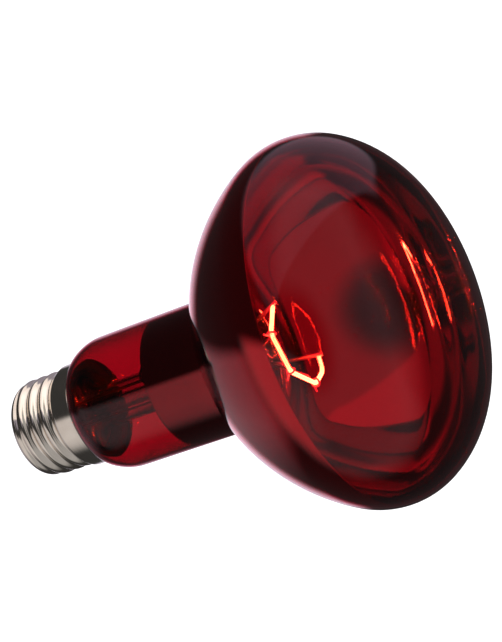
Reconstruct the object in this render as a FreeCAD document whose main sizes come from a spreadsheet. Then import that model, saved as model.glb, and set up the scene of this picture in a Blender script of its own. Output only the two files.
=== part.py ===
# Infrared heat lamp bulb: a blown ruby glass reflector bulb on an E27 screw cap.
# Sizes are in millimetres and degrees. The origin is the tip of the centre contact, and +Z runs
# along the lamp's axis, from the cap up to the window.
import FreeCAD, Part
import math
import os

import Sketcher

SIZES = (
    # the blown glass bulb
    ("bulb_radius", 47.5, "largest outside radius of the bulb"),
    ("bulb_height", "widest_height + 0.56 * bulb_radius", "top of the window above the contact tip"),
    ("widest_height", "crease_height + 0.70526 * bulb_radius", "height of the largest radius"),
    ("rim_radius", "0.38316 * bulb_radius", "outline radius round the widest place"),
    ("rim_low_angle", 65.0, "slope at which the rim curve meets the reflector"),
    ("rim_high_angle", 119.0, "slope at which the rim curve meets the window's edge"),
    ("window_edge_radius", "0.57895 * bulb_radius", "outline radius between the rim and the window"),
    ("reflector_radius", "1.15158 * bulb_radius", "outline radius of the reflector's flank"),
    ("shoulder_radius", "0.53684 * bulb_radius", "outline radius of the reflector above the crease"),
    ("crease_radius", 1.6, "fillet between the neck and the reflector"),
    ("crease_height", 69.3, "height of the centre of that fillet"),
    ("neck_radius", 17.75, "outside radius of the neck"),
    ("neck_curve_radius", 13.6, "outline radius where the neck begins to close"),
    ("neck_curve_angle", 61.6, "slope at which that curve turns into the tight one"),
    ("neck_base_radius", 3.6, "outline radius of the tight curve above the cap"),
    ("seal_fillet", 1.95, "fillet under the neck, hidden in the cap"),
    ("seal_height", 20.6, "lower edge of the bulb, where it is sealed to the flare"),
    ("glass_wall", 1.0, "wall of the bulb"),
    # the stem
    ("flare_curve_radius", 7.0, "trumpet curve of the flare"),
    ("flare_radius", 5.6, "outside radius of the flare's tube"),
    ("flare_wall", 1.0, "wall of the flare"),
    ("stem_height", "press_height - 15", "height at which the flare's tube closes"),
    ("stem_web", 3.0, "thickness of the closed end"),
    ("press_height", "crease_height - 11.3", "top of the flattened press"),
    ("press_width", 15.0, "width of the press"),
    ("press_thickness", 4.4, "thickness of the press"),
    ("press_rounding", 1.2, "rounding of the press's long edges"),
    ("press_angle", 42.5, "direction of the press's width, about the axis"),
    ("exhaust_radius", 2.1, "outside radius of the exhaust tube"),
    ("exhaust_bore", 1.4, "bore radius of the exhaust tube"),
    ("tip_off_height", 10.0, "sealed lower tip of the exhaust tube"),
    ("vent_height", "stem_height + 6", "height of the hole that opens the exhaust tube into the bulb"),
    ("rod_radius", 1.7, "radius of the glass rod that carries the supports"),
    ("button_radius", 2.9, "radius of the rod's button"),
    ("button_height", "filament_height - 11", "underside of the button"),
    ("button_thickness", 3.6, "thickness of the button"),
    ("button_rounding", 0.8, "rounding of the button's edges"),
    # the wires
    ("lead_offset", 4.0, "distance of the leads from the axis in the press"),
    ("upper_lead_radius", 0.5, "radius of the nickel leads inside the bulb"),
    ("seal_wire_radius", 0.3, "radius of the wires that seal to the glass"),
    ("lower_lead_radius", 0.35, "radius of the copper leads below the press"),
    ("lead_embed", 2.0, "how far each lead reaches into the press"),
    ("upper_lead_bend_height", "press_height + 8", "where the upper leads turn outwards"),
    ("upper_lead_bend", 6.0, "bend radius of the upper leads"),
    ("upper_lead_end", 1.2, "how far the upper leads pass the coil"),
    # the filament and its supports
    ("filament_height", "crease_height + 0.35158 * bulb_radius", "plane of the filament"),
    ("filament_start_radius", 11.2, "distance of the coil's end at the second lead from the axis"),
    ("first_corner_radius", 11.4, "distance of the coil's corner at the first support"),
    ("middle_corner_radius", 10.5, "distance of the coil's corner at the middle support"),
    ("last_corner_radius", 12.3, "distance of the coil's corner at the last support"),
    ("sag_radius", 12.8, "distance of the bend where the coil hangs free"),
    ("sag_angle", 88.5, "angle from the middle support to that bend"),
    ("filament_end_radius", 10.4, "distance of the coil's end at the first lead"),
    ("filament_middle_angle", -47.5, "direction of the middle support"),
    ("support_spacing_angle", 60.0, "angle from one support to the next"),
    ("filament_half_angle", 105.5, "angle from the middle support to a lead"),
    ("coil_radius", 0.55, "outside radius of the coil"),
    ("coil_bend", 2.4, "bend radius of the coil at a support"),
    ("support_radius", 0.25, "radius of the support wires"),
    ("support_embed", 1.2, "how far a support reaches into the button"),
    ("support_reach", 1.1, "straight run of a support outside the button"),
    ("support_bend", 0.8, "bend radius of the support wires"),
    ("support_run", 2.4, "level run of a support on either side of its eye"),
    ("eye_gap", 0.15, "clearance between the coil and a support's eye"),
    ("eye_pitch", 0.6, "sideways step of the wire round an eye"),
    # the cap
    ("cap_height", 24.1, "rim of the cap above the contact tip"),
    ("rim_gap", 0.1, "gap between the cap's rim and the glass"),
    ("collar_radius", 13.8, "outside radius of the smooth collar"),
    ("collar_corner_radius", 0.8, "outline radius where the collar begins"),
    ("thread_radius", 13.15, "outside radius of the thread"),
    ("thread_depth", 1.1, "depth of the thread"),
    ("thread_pitch", 3.629, "pitch of the thread, seven turns to the inch"),
    ("sheet_thickness", 0.32, "thickness of the cap's sheet"),
    ("lip_height", 3.45, "underside of the lip that is rolled over the insulator"),
    ("lip_radius", 12.7, "outside radius of the cap's lower corner"),
    ("lip_corner_radius", 1.9, "outline radius of that corner"),
    ("lip_hole_radius", 9.8, "radius of the opening in the lip"),
    ("insulator_top", 8.4, "top of the insulator, inside the cap"),
    ("insulator_radius", 10.7, "radius of the insulator above the lip"),
    ("insulator_bore", 2.0, "bore radius of the insulator"),
    ("insulator_face_radius", 5.6, "radius of the insulator's lower face"),
    ("contact_radius", 4.7, "radius of the centre contact"),
    ("contact_height", 0.9, "underside of the centre contact"),
    ("contact_thickness", 0.7, "thickness of the centre contact"),
    ("contact_wall", 0.4, "wall of the contact's rivet tube"),
    ("contact_tube_height", 4.0, "top of the contact's rivet tube"),
    ("contact_solder_radius", 2.7, "radius of the solder on the contact"),
    ("cement_height", 23.1, "top of the cement in the cap's collar"),
    ("side_lead_radius", 12.2, "distance from the axis of the lead to the cap's rim"),
    ("side_lead_angle", 120.0, "direction of the lead to the cap's rim"),
    ("side_lead_lift", 0.1, "gap under the lead where it leaves the rim"),
    ("notch_width", 0.9, "width of the notch in the rim for that lead"),
    ("side_solder_radius", 1.7, "radius of the solder on the rim"),
    ("side_solder_height", 0.8, "how far that solder stands out"),
)

AXIS = FreeCAD.Vector(0, 0, 1)
ORIGIN = FreeCAD.Vector(0, 0, 0)
THREAD_CRESTS = 3

doc = FreeCAD.newDocument("infrared_heat_lamp_bulb")
size = {}
nodes = []


def make_sheet():
    """Write the driving dimensions into the spreadsheet, one named cell each."""
    sheet = doc.addObject("Spreadsheet::Sheet", "Sizes")
    for row, (alias, value, meaning) in enumerate(SIZES, start=1):
        sheet.setAlias("B%d" % row, alias)
        sheet.set("A%d" % row, meaning)
    for row, (alias, value, meaning) in enumerate(SIZES, start=1):
        # a text is a formula on other cells
        sheet.set("B%d" % row, "=" + value if isinstance(value, str) else str(value))
    doc.recompute()
    for alias, value, meaning in SIZES:
        size[alias] = float(sheet.get(alias))


def cells(text):
    """Turn 'neck_radius - glass_wall' into an expression on the spreadsheet's cells."""
    words = text.split()
    return " ".join("Sizes." + word if word in size else word for word in words)


def total(text):
    """Add up the same text as a number: names and plain numbers, joined by + and -."""
    result = 0.0
    sign = 1.0
    for word in text.split():
        if word in "+-":
            sign = -1.0 if word == "-" else 1.0
        else:
            result += sign * (size[word] if word in size else float(word))
    return result


def direction(angle):
    """Horizontal unit vector at an angle about the lamp's axis."""
    return FreeCAD.Vector(math.cos(math.radians(angle)), math.sin(math.radians(angle)), 0)


def outward(slope):
    """Outward unit normal (radius, height) of an outline that climbs at this slope."""
    return math.sin(math.radians(slope)), -math.cos(math.radians(slope))


# Helpers for bodies, sketches and features


def new_body(label):
    body = doc.addObject("PartDesign::Body", label)
    body.Label = label
    nodes.append(body)
    return body


def new_sketch(body, name, role="XZ_Plane", height=None):
    """Start a sketch on one of the body's own planes, raised by a cell's height if one is given."""
    sketch = body.newObject("Sketcher::SketchObject", name)
    plane = [f for f in body.Origin.OriginFeatures if f.Role == role][0]
    sketch.AttachmentSupport = [(plane, "")]
    sketch.MapMode = "FlatFace"
    if height:
        sketch.AttachmentOffset = FreeCAD.Placement(
            FreeCAD.Vector(0, 0, total(height)), FreeCAD.Rotation()
        )
        sketch.setExpression("AttachmentOffset.Base.z", cells(height))
    return sketch


def bind(sketch, number, expression, kind, *where):
    """Add a dimension and tie it to the spreadsheet."""
    index = sketch.addConstraint(Sketcher.Constraint(kind, *where, number))
    sketch.setExpression("Constraints[%d]" % index, expression)


def bind_point(sketch, shape, end, across, up):
    """Hold a point of a sketch at named distances from the origin, or on an axis."""
    for kind, text, axis in (("DistanceX", across, -2), ("DistanceY", up, -1)):
        if text == "0":
            sketch.addConstraint(Sketcher.Constraint("PointOnObject", shape, end, axis))
        elif text:
            bind(sketch, total(text), cells(text), kind, -1, 1, shape, end)


def draw_profile(sketch, corners):
    """Draw a closed profile of straight lines whose corners are given by name."""
    points = [FreeCAD.Vector(total(across), total(up), 0) for across, up in corners]
    lines = []
    for start, end in zip(points, points[1:] + points[:1]):
        lines.append(sketch.addGeometry(Part.LineSegment(start, end), False))
    for line, following in zip(lines, lines[1:] + lines[:1]):
        sketch.addConstraint(Sketcher.Constraint("Coincident", line, 2, following, 1))
    for line, (across, up) in zip(lines, corners):
        bind_point(sketch, line, 1, across, up)


def draw_circle(sketch, across, up, radius):
    """Draw a circle whose centre and radius are given by name."""
    centre = FreeCAD.Vector(total(across), total(up), 0)
    circle = sketch.addGeometry(Part.Circle(centre, AXIS, total(radius)), False)
    bind(sketch, total(radius), cells(radius), "Radius", circle)
    bind_point(sketch, circle, 3, across, up)


def revolve(body, sketch, name, cut=False):
    kind = "PartDesign::Groove" if cut else "PartDesign::Revolution"
    feature = body.newObject(kind, name)
    feature.Profile = sketch
    feature.ReferenceAxis = (sketch, ["V_Axis"])
    feature.Angle = 360
    sketch.Visibility = False
    doc.recompute()
    return feature


def turned_body(label, corners):
    """Make a body by turning one straight-sided profile about the axis."""
    body = new_body(label)
    sketch = new_sketch(body, label + "_profile")
    draw_profile(sketch, corners)
    revolve(body, sketch, label + "_turned")
    return body


def drill(body, name, across, radius, bottom, depth):
    """Drill round holes upwards from a height, at named distances along the body's X axis."""
    sketch = new_sketch(body, name + "_circles", "XY_Plane", bottom)
    for place in across:
        circle_centre = FreeCAD.Vector(place[0] * total(place[1]), 0, 0)
        circle = sketch.addGeometry(Part.Circle(circle_centre, AXIS, total(radius)), False)
        bind(sketch, total(radius), cells(radius), "Radius", circle)
        sketch.addConstraint(Sketcher.Constraint("PointOnObject", circle, 3, -1))
        if place[0]:
            expression = "%d * (%s)" % (place[0], cells(place[1]))
            bind(sketch, circle_centre.x, expression, "DistanceX", -1, 1, circle, 3)
        else:
            sketch.addConstraint(Sketcher.Constraint("PointOnObject", circle, 3, -2))
    pocket = body.newObject("PartDesign::Pocket", name)
    pocket.Profile = sketch
    pocket.Length = total(depth)
    pocket.setExpression("Length", cells(depth))
    pocket.Reversed = True
    sketch.Visibility = False
    before = body.Shape.Volume
    doc.recompute()
    if body.Shape.Volume >= before:
        raise RuntimeError(name + " removes nothing")
    return pocket


def turn_to(part, angle):
    """Turn a part about the lamp's axis by a cell's angle."""
    part.Placement = FreeCAD.Placement(ORIGIN, FreeCAD.Rotation(AXIS, size[angle]))
    part.setExpression("Placement.Rotation.Angle", "Sizes." + angle)


def new_shape(label, shape):
    """Add a piece whose shape no sketch can give."""
    part = doc.addObject("Part::Feature", label)
    part.Label = label
    part.Shape = shape
    part.Placement = FreeCAD.Placement()
    nodes.append(part)
    return part


# Wires that run free in space


def bent_path(points, bend):
    """Join points by straight runs, with each corner rounded to the bend radius."""
    edges = []
    start = points[0]
    for before, corner, after in zip(points, points[1:], points[2:]):
        incoming = (corner - before).normalize()
        leaving = (after - corner).normalize()
        turn = incoming.getAngle(leaving)
        trim = bend * math.tan(turn / 2)
        arc_start = corner - incoming * trim
        arc_end = corner + leaving * trim
        inward = (leaving - incoming).normalize()
        middle = corner + inward * (bend / math.cos(turn / 2) - bend)
        edges.append(Part.LineSegment(start, arc_start).toShape())
        edges.append(Part.Arc(arc_start, middle, arc_end).toShape())
        start = arc_end
    edges.append(Part.LineSegment(start, points[-1]).toShape())
    return Part.Wire(edges)


def round_wire(points, bend, radius):
    """Sweep a round section along a bent path."""
    path = bent_path(points, bend)
    section = Part.Wire(Part.Circle(points[0], points[1] - points[0], radius).toShape())
    return path.makePipeShell([section], True, False)


# The blown glass bulb


def neck_places():
    """Centres of the two curves that close the neck, and the outside radius of the sealed end."""
    curve_across, curve_up = outward(size["neck_curve_angle"])
    spread = size["neck_curve_radius"] - size["neck_base_radius"]
    base_height = total("cap_height + rim_gap")
    base_centre = FreeCAD.Vector(
        total("neck_radius - neck_curve_radius") + spread * curve_across,
        base_height + size["neck_base_radius"],
        0,
    )
    curve_centre = base_centre - FreeCAD.Vector(curve_across, curve_up, 0) * spread
    seal_radius = base_centre.x - size["seal_fillet"]
    return base_centre, curve_centre, seal_radius


def seal_radius_cells():
    """The sealed end's outside radius, as an expression on the spreadsheet."""
    return (
        "Sizes.neck_radius - Sizes.neck_curve_radius - Sizes.seal_fillet"
        " + (Sizes.neck_curve_radius - Sizes.neck_base_radius)"
        " * sin(Sizes.neck_curve_angle * 1 deg)"
    )


def meet(centre_a, reach_a, centre_b, reach_b):
    """The outer of the two points at given distances from two centres."""
    apart = centre_b - centre_a
    along = (reach_a**2 - reach_b**2 + apart.Length**2) / (2 * apart.Length)
    aside = math.sqrt(reach_a**2 - along**2)
    unit = FreeCAD.Vector(apart).normalize()
    left = FreeCAD.Vector(-unit.y, unit.x, 0)
    found = (centre_a + unit * along + left * aside, centre_a + unit * along - left * aside)
    return max(found, key=lambda point: point.x)


def slope_between(inner, outer):
    """Slope of the outline where a curve about one centre runs into a wider one about another."""
    away = outer - inner
    return math.degrees(math.atan2(away.x, -away.y)) % 360


def bulb_curves(inset):
    """Curves of the bulb's outline from the sealed end up to the window, moved in by inset."""
    base_centre, curve_centre, seal_radius = neck_places()
    rim = FreeCAD.Vector(total("bulb_radius - rim_radius"), size["widest_height"], 0)
    high = FreeCAD.Vector(*outward(size["rim_high_angle"]), 0)
    low = FreeCAD.Vector(*outward(size["rim_low_angle"]), 0)
    edge = rim - high * total("window_edge_radius - rim_radius")
    flank = rim - low * total("reflector_radius - rim_radius")
    rise = size["bulb_height"] - edge.y
    crown_radius = (edge.x**2 + rise**2 - size["window_edge_radius"] ** 2) / (
        2 * rise - 2 * size["window_edge_radius"]
    )
    crown = FreeCAD.Vector(0, size["bulb_height"] - crown_radius, 0)
    crease = FreeCAD.Vector(total("neck_radius + crease_radius"), size["crease_height"], 0)
    shoulder = meet(
        flank,
        total("reflector_radius - shoulder_radius"),
        crease,
        total("crease_radius + shoulder_radius"),
    )
    crown_slope = slope_between(crown, edge)
    shoulder_slope = slope_between(flank, shoulder)
    crease_slope = slope_between(shoulder, crease)
    fillet = FreeCAD.Vector(base_centre.x, base_centre.y - total("neck_base_radius + seal_fillet"), 0)
    # centre, radius, slopes at the lower and upper end, and +1 where the glass is inside the curve
    return (
        (fillet, size["seal_fillet"] + inset, 90, 0, -1),
        (base_centre, size["neck_base_radius"] - inset, 0, size["neck_curve_angle"], 1),
        (curve_centre, size["neck_curve_radius"] - inset, size["neck_curve_angle"], 90, 1),
        (crease, size["crease_radius"] + inset, 90, crease_slope, -1),
        (shoulder, size["shoulder_radius"] - inset, crease_slope, shoulder_slope, 1),
        (flank, size["reflector_radius"] - inset, shoulder_slope, size["rim_low_angle"], 1),
        (rim, size["rim_radius"] - inset, size["rim_low_angle"], size["rim_high_angle"], 1),
        (edge, size["window_edge_radius"] - inset, size["rim_high_angle"], crown_slope, 1),
        (crown, crown_radius - inset, crown_slope, 180, 1),
    )


def draw_bulb(sketch, inset, bottom):
    """Draw the bulb's half outline as tangent curves, tied to the spreadsheet.

    The inset is empty for the outside of the glass and a cell's name for its inside.
    """
    inward_by = size[inset] if inset else 0.0
    thinner = " - Sizes." + inset if inset else ""
    thicker = " + Sizes." + inset if inset else ""
    curves = bulb_curves(inward_by)
    arcs = []
    ends = []
    for centre, radius, low, high, side in curves:
        first = FreeCAD.Vector(*outward(low), 0) * (side * radius) + centre
        last = FreeCAD.Vector(*outward(high), 0) * (side * radius) + centre
        half = FreeCAD.Vector(*outward((low + high) / 2), 0) * (side * radius) + centre
        arcs.append(sketch.addGeometry(Part.Arc(first, half, last), False))
        ends.append((first, last))

    # An arc in a sketch always runs anticlockwise, so a concave curve is held by its ends turned.
    def low_end(index):
        return 1 if curves[index][4] > 0 else 2

    def high_end(index):
        return 2 if curves[index][4] > 0 else 1

    foot = FreeCAD.Vector(ends[0][0].x, total(bottom), 0)
    floor = sketch.addGeometry(Part.LineSegment(FreeCAD.Vector(0, foot.y, 0), foot), False)
    tube = sketch.addGeometry(Part.LineSegment(foot, ends[0][0]), False)
    neck = sketch.addGeometry(Part.LineSegment(ends[2][1], ends[3][0]), False)
    middle = sketch.addGeometry(
        Part.LineSegment(ends[-1][1], FreeCAD.Vector(0, foot.y, 0)), False
    )
    for lower, lower_end, upper, upper_end in (
        (tube, 2, arcs[0], low_end(0)),
        (arcs[0], high_end(0), arcs[1], low_end(1)),
        (arcs[1], high_end(1), arcs[2], low_end(2)),
        (arcs[2], high_end(2), neck, 1),
        (neck, 2, arcs[3], low_end(3)),
        (arcs[3], high_end(3), arcs[4], low_end(4)),
        (arcs[4], high_end(4), arcs[5], low_end(5)),
        (arcs[5], high_end(5), arcs[6], low_end(6)),
        (arcs[6], high_end(6), arcs[7], low_end(7)),
        (arcs[7], high_end(7), arcs[8], low_end(8)),
    ):
        sketch.addConstraint(Sketcher.Constraint("Tangent", lower, lower_end, upper, upper_end))
    sketch.addConstraint(Sketcher.Constraint("Coincident", floor, 2, tube, 1))
    sketch.addConstraint(Sketcher.Constraint("Coincident", arcs[8], high_end(8), middle, 1))
    sketch.addConstraint(Sketcher.Constraint("Coincident", middle, 2, floor, 1))
    sketch.addConstraint(Sketcher.Constraint("PointOnObject", floor, 1, -2))
    sketch.addConstraint(Sketcher.Constraint("PointOnObject", middle, 1, -2))
    sketch.addConstraint(Sketcher.Constraint("PointOnObject", arcs[8], 3, -2))
    sketch.addConstraint(Sketcher.Constraint("Horizontal", floor))
    sketch.addConstraint(Sketcher.Constraint("Vertical", tube))
    sketch.addConstraint(Sketcher.Constraint("Vertical", neck))
    sketch.addConstraint(Sketcher.Constraint("Vertical", arcs[0], 3, arcs[1], 3))

    radii = (
        (0, "Sizes.seal_fillet" + thicker),
        (1, "Sizes.neck_base_radius" + thinner),
        (2, "Sizes.neck_curve_radius" + thinner),
        (3, "Sizes.crease_radius" + thicker),
        (4, "Sizes.shoulder_radius" + thinner),
        (5, "Sizes.reflector_radius" + thinner),
        (6, "Sizes.rim_radius" + thinner),
        (7, "Sizes.window_edge_radius" + thinner),
    )
    for index, expression in radii:
        bind(sketch, curves[index][1], expression, "Radius", arcs[index])
    bind(sketch, total(bottom), cells(bottom), "DistanceY", -1, 1, floor, 1)
    bind(sketch, ends[2][1].x, "Sizes.neck_radius" + thinner, "DistanceX", -1, 1, neck, 1)
    base_height = "Sizes.cap_height + Sizes.rim_gap + Sizes.neck_base_radius"
    bind(sketch, curves[1][0].y, base_height, "DistanceY", -1, 1, arcs[1], 3)
    bind(sketch, curves[3][0].y, "Sizes.crease_height", "DistanceY", -1, 1, arcs[3], 3)
    bind(sketch, curves[6][0].y, "Sizes.widest_height", "DistanceY", -1, 1, arcs[6], 3)
    rim_across = "Sizes.bulb_radius - Sizes.rim_radius"
    bind(sketch, curves[6][0].x, rim_across, "DistanceX", -1, 1, arcs[6], 3)
    bind(sketch, ends[8][1].y, "Sizes.bulb_height" + thinner, "DistanceY", -1, 1, middle, 1)
    # each named slope fixes how high its joint lies above or below the curve's centre
    slopes = (
        (1, high_end(1), "Sizes.neck_base_radius", "Sizes.neck_curve_angle"),
        (6, low_end(6), "Sizes.rim_radius", "Sizes.rim_low_angle"),
        (6, high_end(6), "Sizes.rim_radius", "Sizes.rim_high_angle"),
    )
    for index, end, radius, angle in slopes:
        centre = curves[index][0]
        joint = ends[index][0] if end == 1 else ends[index][1]
        drop = "(%s%s) * -cos(%s * 1 deg)" % (radius, thinner, angle)
        bind(sketch, joint.y - centre.y, drop, "DistanceY", arcs[index], 3, arcs[index], end)


def make_glass_envelope():
    """Blown ruby glass: a solid turned to the outside, hollowed by its own outline moved in."""
    body = new_body("glass_envelope")
    outside = new_sketch(body, "bulb_outside")
    draw_bulb(outside, "", "seal_height")
    revolve(body, outside, "bulb_turned")
    inside = new_sketch(body, "bulb_inside")
    draw_bulb(inside, "glass_wall", "seal_height - glass_wall")
    revolve(body, inside, "bulb_hollow", cut=True)


# The glass stem


def make_stem_flare():
    """Flare tube, sealed to the bulb at its skirt and pressed flat round the wires at its top."""
    body = new_body("stem_flare")
    sketch = new_sketch(body, "flare_profile")
    seal_radius = neck_places()[2]
    ledge = seal_radius - size["glass_wall"]
    curve = size["flare_curve_radius"]
    centre_across = total("flare_radius + flare_curve_radius")
    centre_up = size["seal_height"] + math.sqrt(curve**2 - (centre_across - ledge) ** 2)
    centre = FreeCAD.Vector(centre_across, centre_up, 0)
    inner_curve = curve + size["flare_wall"]
    under = total("seal_height - flare_wall")
    under_across = centre_across - math.sqrt(inner_curve**2 - (centre_up - under) ** 2)
    corners = {
        "skirt_top": FreeCAD.Vector(seal_radius, size["seal_height"], 0),
        "ledge": FreeCAD.Vector(ledge, size["seal_height"], 0),
        "tube_foot": FreeCAD.Vector(size["flare_radius"], centre_up, 0),
        "tube_top": FreeCAD.Vector(size["flare_radius"], total("stem_height + stem_web"), 0),
        "top_middle": FreeCAD.Vector(0, total("stem_height + stem_web"), 0),
        "web_middle": FreeCAD.Vector(0, size["stem_height"], 0),
        "web_edge": FreeCAD.Vector(total("flare_radius - flare_wall"), size["stem_height"], 0),
        "bore_foot": FreeCAD.Vector(total("flare_radius - flare_wall"), centre_up, 0),
        "under_inner": FreeCAD.Vector(under_across, under, 0),
        "skirt_under": FreeCAD.Vector(seal_radius, under, 0),
    }

    def line(start, end):
        return sketch.addGeometry(Part.LineSegment(corners[start], corners[end]), False)

    def trumpet(radius, low, high):
        """A curve of the skirt, which runs anticlockwise from the tube down to the ledge."""
        lean = (corners[low] - centre).normalize() + (corners[high] - centre).normalize()
        middle = centre + lean.normalize() * radius
        return sketch.addGeometry(Part.Arc(corners[high], middle, corners[low]), False)

    top = line("skirt_top", "ledge")
    outer = trumpet(curve, "ledge", "tube_foot")
    tube = line("tube_foot", "tube_top")
    lid = line("tube_top", "top_middle")
    middle = line("top_middle", "web_middle")
    web = line("web_middle", "web_edge")
    bore = line("web_edge", "bore_foot")
    inner = trumpet(inner_curve, "under_inner", "bore_foot")
    under_face = line("under_inner", "skirt_under")
    edge = line("skirt_under", "skirt_top")
    chain = (
        (top, 2, outer, 2),
        (tube, 2, lid, 1),
        (lid, 2, middle, 1),
        (middle, 2, web, 1),
        (web, 2, bore, 1),
        (inner, 2, under_face, 1),
        (under_face, 2, edge, 1),
        (edge, 2, top, 1),
    )
    for first, first_end, second, second_end in chain:
        joint = Sketcher.Constraint("Coincident", first, first_end, second, second_end)
        sketch.addConstraint(joint)
    sketch.addConstraint(Sketcher.Constraint("Tangent", outer, 1, tube, 1))
    sketch.addConstraint(Sketcher.Constraint("Tangent", bore, 2, inner, 1))
    sketch.addConstraint(Sketcher.Constraint("Coincident", outer, 3, inner, 3))
    for flat in (top, lid, web, under_face):
        sketch.addConstraint(Sketcher.Constraint("Horizontal", flat))
    for upright in (tube, edge, bore):
        sketch.addConstraint(Sketcher.Constraint("Vertical", upright))
    sketch.addConstraint(Sketcher.Constraint("PointOnObject", middle, 1, -2))
    sketch.addConstraint(Sketcher.Constraint("PointOnObject", middle, 2, -2))
    seal_cells = seal_radius_cells()
    bind(sketch, curve, "Sizes.flare_curve_radius", "Radius", outer)
    bind(sketch, seal_radius, seal_cells, "DistanceX", -1, 1, top, 1)
    bind(sketch, ledge, seal_cells + " - Sizes.glass_wall", "DistanceX", -1, 1, top, 2)
    bind(sketch, size["seal_height"], "Sizes.seal_height", "DistanceY", -1, 1, top, 1)
    bind(sketch, under, cells("seal_height - flare_wall"), "DistanceY", -1, 1, edge, 1)
    bind(sketch, size["flare_radius"], "Sizes.flare_radius", "DistanceX", -1, 1, tube, 2)
    bore_across = cells("flare_radius - flare_wall")
    bind(sketch, total("flare_radius - flare_wall"), bore_across, "DistanceX", -1, 1, bore, 1)
    web_top = "stem_height + stem_web"
    bind(sketch, total(web_top), cells(web_top), "DistanceY", -1, 1, lid, 1)
    bind(sketch, size["stem_height"], "Sizes.stem_height", "DistanceY", -1, 1, web, 1)
    revolve(body, sketch, "flare_turned")

    press = new_sketch(body, "press_outline")
    half = size["press_width"] / 2
    low = FreeCAD.Vector(-half, size["stem_height"], 0)
    high = FreeCAD.Vector(half, size["press_height"], 0)
    outline = (
        (low, FreeCAD.Vector(high.x, low.y, 0)),
        (FreeCAD.Vector(high.x, low.y, 0), high),
        (high, FreeCAD.Vector(low.x, high.y, 0)),
        (FreeCAD.Vector(low.x, high.y, 0), low),
    )
    sides = [press.addGeometry(Part.LineSegment(*ends), False) for ends in outline]
    for side, following in zip(sides, sides[1:] + sides[:1]):
        press.addConstraint(Sketcher.Constraint("Coincident", side, 2, following, 1))
    for side in (0, 2):
        press.addConstraint(Sketcher.Constraint("Horizontal", sides[side]))
        press.addConstraint(Sketcher.Constraint("Vertical", sides[side + 1]))
    bind(press, half, "Sizes.press_width / 2", "DistanceX", -1, 1, sides[1], 1)
    bind(press, -half, "-Sizes.press_width / 2", "DistanceX", -1, 1, sides[0], 1)
    bind(press, low.y, "Sizes.stem_height", "DistanceY", -1, 1, sides[0], 1)
    bind(press, high.y, "Sizes.press_height", "DistanceY", -1, 1, sides[2], 1)
    pad = body.newObject("PartDesign::Pad", "press")
    pad.Profile = press
    pad.Length = size["press_thickness"]
    pad.setExpression("Length", "Sizes.press_thickness")
    pad.Midplane = True
    press.Visibility = False
    doc.recompute()
    long_edges = []
    for number, candidate in enumerate(pad.Shape.Edges, start=1):
        box = candidate.BoundBox
        upright = box.ZLength > size["press_height"] / 8 and box.XLength + box.YLength < 0.01
        if upright and abs(abs(box.Center.x) - half) < 0.01:
            long_edges.append("Edge%d" % number)
    rounding = body.newObject("PartDesign::Fillet", "press_rounded")
    rounding.Base = (pad, long_edges)
    rounding.Radius = size["press_rounding"]
    rounding.setExpression("Radius", "Sizes.press_rounding")
    doc.recompute()

    leads = ((1, "lead_offset"), (-1, "lead_offset"))
    drill(body, "lower_lead_holes", leads, "lower_lead_radius", "stem_height", "lead_embed")
    seal_start = "stem_height + lead_embed"
    seal_length = "press_height - stem_height - lead_embed - lead_embed"
    drill(body, "seal_wire_holes", leads, "seal_wire_radius", seal_start, seal_length)
    upper_start = "press_height - lead_embed"
    drill(body, "upper_lead_holes", leads, "upper_lead_radius", upper_start, "lead_embed")
    drill(body, "exhaust_duct", ((0, "0"),), "exhaust_bore", "stem_height", "vent_height - stem_height")
    drill_vent(body)
    turn_to(body, "press_angle")


def drill_vent(body):
    """Open the exhaust duct through one flat face of the press."""
    sketch = new_sketch(body, "vent_circle")
    draw_circle(sketch, "0", "vent_height", "exhaust_bore")
    pocket = body.newObject("PartDesign::Pocket", "vent")
    pocket.Profile = sketch
    pocket.Length = size["press_thickness"]
    pocket.setExpression("Length", "Sizes.press_thickness")
    sketch.Visibility = False
    before = body.Shape.Volume
    doc.recompute()
    if body.Shape.Volume >= before:
        raise RuntimeError("the vent removes nothing")


def make_exhaust_tube():
    """Thin tube up the middle of the flare, melted shut at its lower tip."""
    turned_body(
        "exhaust_tube",
        (
            ("0", "tip_off_height"),
            ("exhaust_bore", "tip_off_height"),
            ("exhaust_radius", "tip_off_height + exhaust_radius"),
            ("exhaust_radius", "stem_height"),
            ("exhaust_bore", "stem_height"),
            ("exhaust_bore", "tip_off_height + exhaust_radius"),
            ("0", "tip_off_height + exhaust_bore"),
        ),
    )


def make_support_rod():
    """Glass rod on the press, with a button that holds the support wires."""
    body = new_body("support_rod")
    sketch = new_sketch(body, "rod_profile")
    draw_profile(
        sketch,
        (
            ("0", "press_height"),
            ("rod_radius", "press_height"),
            ("rod_radius", "button_height"),
            ("button_radius", "button_height"),
            ("button_radius", "button_height + button_thickness"),
            ("0", "button_height + button_thickness"),
        ),
    )
    turned = revolve(body, sketch, "rod_turned")
    rims = []
    for number, edge in enumerate(turned.Shape.Edges, start=1):
        circle = edge.Curve.TypeId == "Part::GeomCircle"
        if circle and abs(edge.Curve.Radius - size["button_radius"]) < 0.01:
            rims.append("Edge%d" % number)
    rounding = body.newObject("PartDesign::Fillet", "button_rounded")
    rounding.Base = (turned, rims)
    rounding.Radius = size["button_rounding"]
    rounding.setExpression("Radius", "Sizes.button_rounding")
    doc.recompute()
    drill_sockets(body)
    # the first socket is drilled along the body's own Y axis
    first = size["filament_middle_angle"] - size["support_spacing_angle"] - 90
    body.Placement = FreeCAD.Placement(ORIGIN, FreeCAD.Rotation(AXIS, first))
    first_cells = cells("filament_middle_angle - support_spacing_angle") + " - 90"
    body.setExpression("Placement.Rotation.Angle", first_cells)


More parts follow.
